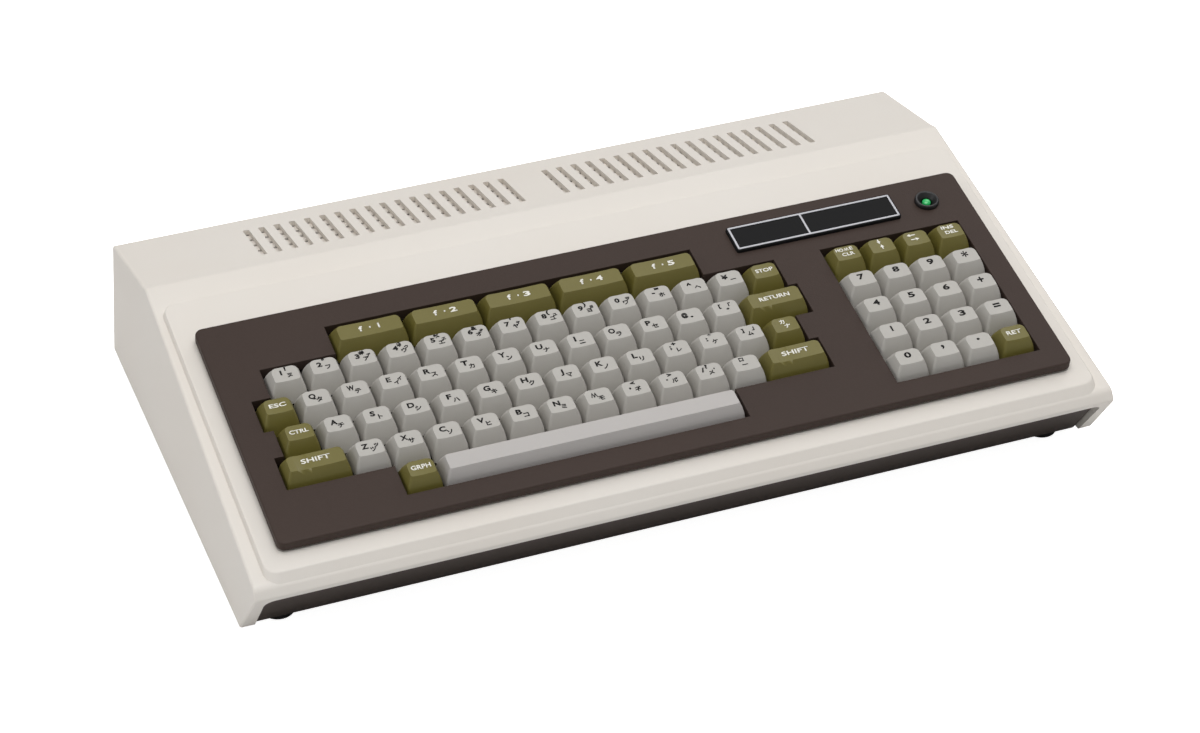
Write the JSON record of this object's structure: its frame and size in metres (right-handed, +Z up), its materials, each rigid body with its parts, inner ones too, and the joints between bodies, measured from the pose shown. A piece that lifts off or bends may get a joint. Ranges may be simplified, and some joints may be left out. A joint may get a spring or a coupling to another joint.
{
  "type": "home_computer",
  "caption": "Vintage home computer with a built-in keyboard, separate keypad, raised bezel and slotted sloping rear deck",
  "frame": {"origin": "on the table under the middle of the bounding box", "axes": "+X to the right along the keyboard, +Y from the user to the rear, +Z up"},
  "size_m": [0.4292, 0.26, 0.0816],
  "materials": {
    "cream_plastic": "fine textured",
    "bezel_plastic": "grained",
    "tray_plastic": "fine textured",
    "black_plastic": "satin",
    "green_lens": "clear",
    "plate_steel": "plain",
    "board_laminate": "satin",
    "grey_caps": "fine textured",
    "green_caps": "fine textured",
    "space_cap": "fine textured",
    "foot_rubber": "matte"
  },
  "bodies": {
    "case": {"top_cover": "cream_plastic", "bottom_tray": "tray_plastic", "keyboard_bezel": "bezel_plastic", "badge_plate": "black_plastic", "lamp_ring": "black_plastic", "power_lamp": "green_lens", "switch_plate": "plate_steel", "keyboard_board": "board_laminate", "main_board": "board_laminate", "rear_sockets": "black_plastic", "power_supply": "plate_steel", "foot_front_left": "foot_rubber", "foot_front_right": "foot_rubber", "foot_rear_left": "foot_rubber", "foot_rear_right": "foot_rubber"},
    "rocker": {"power_switch": "black_plastic"},
    "reset": {"reset_button": "black_plastic"},
    "escape_key": {"key_escape": "green_caps"},
    "q_key": {"key_q": "grey_caps"},
    "w_key": {"key_w": "grey_caps"},
    "e_key": {"key_e": "grey_caps"},
    "r_key": {"key_r": "grey_caps"},
    "t_key": {"key_t": "grey_caps"},
    "y_key": {"key_y": "grey_caps"},
    "u_key": {"key_u": "grey_caps"},
    "i_key": {"key_i": "grey_caps"},
    "o_key": {"key_o": "grey_caps"},
    "p_key": {"key_p": "grey_caps"},
    "at_key": {"key_at": "grey_caps"},
    "bracket_open_key": {"key_bracket_open": "grey_caps"},
    "return_key": {"key_return": "green_caps"},
    "control_key": {"key_control": "green_caps"},
    "a_key": {"key_a": "grey_caps"},
    "s_key": {"key_s": "grey_caps"},
    "d_key": {"key_d": "grey_caps"},
    "f_key": {"key_f": "grey_caps"},
    "g_key": {"key_g": "grey_caps"},
    "h_key": {"key_h": "grey_caps"},
    "j_key": {"key_j": "grey_caps"},
    "k_key": {"key_k": "grey_caps"},
    "l_key": {"key_l": "grey_caps"},
    "semicolon_key": {"key_semicolon": "grey_caps"},
    "colon_key": {"key_colon": "grey_caps"},
    "bracket_close_key": {"key_bracket_close": "grey_caps"},
    "kana_key": {"key_kana": "green_caps"},
    "shift_left_key": {"key_shift_left": "green_caps"},
    "z_key": {"key_z": "grey_caps"},
    "x_key": {"key_x": "grey_caps"},
    "c_key": {"key_c": "grey_caps"},
    "v_key": {"key_v": "grey_caps"},
    "b_key": {"key_b": "grey_caps"},
    "n_key": {"key_n": "grey_caps"},
    "m_key": {"key_m": "grey_caps"},
    "comma_key": {"key_comma": "grey_caps"},
    "period_key": {"key_period": "grey_caps"},
    "slash_key": {"key_slash": "grey_caps"},
    "underscore_key": {"key_underscore": "grey_caps"},
    "shift_right_key": {"key_shift_right": "green_caps"},
    "graph_key": {"key_graph": "green_caps"},
    "space_key": {"key_space": "space_cap"}
  },
  "joints": [
    {"name": "escape_press", "type": "slide", "parent": "case", "child": "escape_key", "axis": [0, -0.196, 0.9806], "range_m": [-0.0035, 0], "stiffness_N_per_m": 120, "springref_m": 0.002},
    {"name": "q_press", "type": "slide", "parent": "case", "child": "q_key", "axis": [0, -0.196, 0.9806], "range_m": [-0.0035, 0], "stiffness_N_per_m": 120, "springref_m": 0.002},
    {"name": "w_press", "type": "slide", "parent": "case", "child": "w_key", "axis": [0, -0.196, 0.9806], "range_m": [-0.0035, 0], "stiffness_N_per_m": 120, "springref_m": 0.002},
    {"name": "e_press", "type": "slide", "parent": "case", "child": "e_key", "axis": [0, -0.196, 0.9806], "range_m": [-0.0035, 0], "stiffness_N_per_m": 120, "springref_m": 0.002},
    {"name": "r_press", "type": "slide", "parent": "case", "child": "r_key", "axis": [0, -0.196, 0.9806], "range_m": [-0.0035, 0], "stiffness_N_per_m": 120, "springref_m": 0.002},
    {"name": "t_press", "type": "slide", "parent": "case", "child": "t_key", "axis": [0, -0.196, 0.9806], "range_m": [-0.0035, 0], "stiffness_N_per_m": 120, "springref_m": 0.002},
    {"name": "y_press", "type": "slide", "parent": "case", "child": "y_key", "axis": [0, -0.196, 0.9806], "range_m": [-0.0035, 0], "stiffness_N_per_m": 120, "springref_m": 0.002},
    {"name": "u_press", "type": "slide", "parent": "case", "child": "u_key", "axis": [0, -0.196, 0.9806], "range_m": [-0.0035, 0], "stiffness_N_per_m": 120, "springref_m": 0.002},
    {"name": "i_press", "type": "slide", "parent": "case", "child": "i_key", "axis": [0, -0.196, 0.9806], "range_m": [-0.0035, 0], "stiffness_N_per_m": 120, "springref_m": 0.002},
    {"name": "o_press", "type": "slide", "parent": "case", "child": "o_key", "axis": [0, -0.196, 0.9806], "range_m": [-0.0035, 0], "stiffness_N_per_m": 120, "springref_m": 0.002},
    {"name": "p_press", "type": "slide", "parent": "case", "child": "p_key", "axis": [0, -0.196, 0.9806], "range_m": [-0.0035, 0], "stiffness_N_per_m": 120, "springref_m": 0.002},
    {"name": "at_press", "type": "slide", "parent": "case", "child": "at_key", "axis": [0, -0.196, 0.9806], "range_m": [-0.0035, 0], "stiffness_N_per_m": 120, "springref_m": 0.002},
    {"name": "bracket_open_press", "type": "slide", "parent": "case", "child": "bracket_open_key", "axis": [0, -0.196, 0.9806], "range_m": [-0.0035, 0], "stiffness_N_per_m": 120, "springref_m": 0.002},
    {"name": "return_press", "type": "slide", "parent": "case", "child": "return_key", "axis": [0, -0.196, 0.9806], "range_m": [-0.0035, 0], "stiffness_N_per_m": 120, "springref_m": 0.002},
    {"name": "control_press", "type": "slide", "parent": "case", "child": "control_key", "axis": [0, -0.196, 0.9806], "range_m": [-0.0035, 0], "stiffness_N_per_m": 120, "springref_m": 0.002},
    {"name": "a_press", "type": "slide", "parent": "case", "child": "a_key", "axis": [0, -0.196, 0.9806], "range_m": [-0.0035, 0], "stiffness_N_per_m": 120, "springref_m": 0.002},
    {"name": "s_press", "type": "slide", "parent": "case", "child": "s_key", "axis": [0, -0.196, 0.9806], "range_m": [-0.0035, 0], "stiffness_N_per_m": 120, "springref_m": 0.002},
    {"name": "d_press", "type": "slide", "parent": "case", "child": "d_key", "axis": [0, -0.196, 0.9806], "range_m": [-0.0035, 0], "stiffness_N_per_m": 120, "springref_m": 0.002},
    {"name": "f_press", "type": "slide", "parent": "case", "child": "f_key", "axis": [0, -0.196, 0.9806], "range_m": [-0.0035, 0], "stiffness_N_per_m": 120, "springref_m": 0.002},
    {"name": "g_press", "type": "slide", "parent": "case", "child": "g_key", "axis": [0, -0.196, 0.9806], "range_m": [-0.0035, 0], "stiffness_N_per_m": 120, "springref_m": 0.002},
    {"name": "h_press", "type": "slide", "parent": "case", "child": "h_key", "axis": [0, -0.196, 0.9806], "range_m": [-0.0035, 0], "stiffness_N_per_m": 120, "springref_m": 0.002},
    {"name": "j_press", "type": "slide", "parent": "case", "child": "j_key", "axis": [0, -0.196, 0.9806], "range_m": [-0.0035, 0], "stiffness_N_per_m": 120, "springref_m": 0.002},
    {"name": "k_press", "type": "slide", "parent": "case", "child": "k_key", "axis": [0, -0.196, 0.9806], "range_m": [-0.0035, 0], "stiffness_N_per_m": 120, "springref_m": 0.002},
    {"name": "l_press", "type": "slide", "parent": "case", "child": "l_key", "axis": [0, -0.196, 0.9806], "range_m": [-0.0035, 0], "stiffness_N_per_m": 120, "springref_m": 0.002},
    {"name": "semicolon_press", "type": "slide", "parent": "case", "child": "semicolon_key", "axis": [0, -0.196, 0.9806], "range_m": [-0.0035, 0], "stiffness_N_per_m": 120, "springref_m": 0.002},
    {"name": "colon_press", "type": "slide", "parent": "case", "child": "colon_key", "axis": [0, -0.196, 0.9806], "range_m": [-0.0035, 0], "stiffness_N_per_m": 120, "springref_m": 0.002},
    {"name": "bracket_close_press", "type": "slide", "parent": "case", "child": "bracket_close_key", "axis": [0, -0.196, 0.9806], "range_m": [-0.0035, 0], "stiffness_N_per_m": 120, "springref_m": 0.002},
    {"name": "kana_press", "type": "slide", "parent": "case", "child": "kana_key", "axis": [0, -0.196, 0.9806], "range_m": [-0.0035, 0], "stiffness_N_per_m": 120, "springref_m": 0.002},
    {"name": "shift_left_press", "type": "slide", "parent": "case", "child": "shift_left_key", "axis": [0, -0.196, 0.9806], "range_m": [-0.0035, 0], "stiffness_N_per_m": 120, "springref_m": 0.002},
    {"name": "z_press", "type": "slide", "parent": "case", "child": "z_key", "axis": [0, -0.196, 0.9806], "range_m": [-0.0035, 0], "stiffness_N_per_m": 120, "springref_m": 0.002},
    {"name": "x_press", "type": "slide", "parent": "case", "child": "x_key", "axis": [0, -0.196, 0.9806], "range_m": [-0.0035, 0], "stiffness_N_per_m": 120, "springref_m": 0.002},
    {"name": "c_press", "type": "slide", "parent": "case", "child": "c_key", "axis": [0, -0.196, 0.9806], "range_m": [-0.0035, 0], "stiffness_N_per_m": 120, "springref_m": 0.002},
    {"name": "v_press", "type": "slide", "parent": "case", "child": "v_key", "axis": [0, -0.196, 0.9806], "range_m": [-0.0035, 0], "stiffness_N_per_m": 120, "springref_m": 0.002},
    {"name": "b_press", "type": "slide", "parent": "case", "child": "b_key", "axis": [0, -0.196, 0.9806], "range_m": [-0.0035, 0], "stiffness_N_per_m": 120, "springref_m": 0.002},
    {"name": "n_press", "type": "slide", "parent": "case", "child": "n_key", "axis": [0, -0.196, 0.9806], "range_m": [-0.0035, 0], "stiffness_N_per_m": 120, "springref_m": 0.002},
    {"name": "m_press", "type": "slide", "parent": "case", "child": "m_key", "axis": [0, -0.196, 0.9806], "range_m": [-0.0035, 0], "stiffness_N_per_m": 120, "springref_m": 0.002},
    {"name": "comma_press", "type": "slide", "parent": "case", "child": "comma_key", "axis": [0, -0.196, 0.9806], "range_m": [-0.0035, 0], "stiffness_N_per_m": 120, "springref_m": 0.002},
    {"name": "period_press", "type": "slide", "parent": "case", "child": "period_key", "axis": [0, -0.196, 0.9806], "range_m": [-0.0035, 0], "stiffness_N_per_m": 120, "springref_m": 0.002},
    {"name": "slash_press", "type": "slide", "parent": "case", "child": "slash_key", "axis": [0, -0.196, 0.9806], "range_m": [-0.0035, 0], "stiffness_N_per_m": 120, "springref_m": 0.002},
    {"name": "underscore_press", "type": "slide", "parent": "case", "child": "underscore_key", "axis": [0, -0.196, 0.9806], "range_m": [-0.0035, 0], "stiffness_N_per_m": 120, "springref_m": 0.002},
    {"name": "shift_right_press", "type": "slide", "parent": "case", "child": "shift_right_key", "axis": [0, -0.196, 0.9806], "range_m": [-0.0035, 0], "stiffness_N_per_m": 120, "springref_m": 0.002},
    {"name": "graph_press", "type": "slide", "parent": "case", "child": "graph_key", "axis": [0, -0.196, 0.9806], "range_m": [-0.0035, 0], "stiffness_N_per_m": 120, "springref_m": 0.002},
    {"name": "space_press", "type": "slide", "parent": "case", "child": "space_key", "axis": [0, -0.196, 0.9806], "range_m": [-0.0035, 0], "stiffness_N_per_m": 120, "springref_m": 0.002},
    {"name": "reset_press", "type": "slide", "parent": "case", "child": "reset", "axis": [0, -1, 0], "range_m": [0, 0.002], "stiffness_N_per_m": 120, "springref_m": -0.002},
    {"name": "power_rock", "type": "hinge", "parent": "case", "child": "rocker", "pos_m": [0.15, 0.12, 0.023], "axis": [1, 0, 0], "range_deg": [0, 16]}
  ]
}
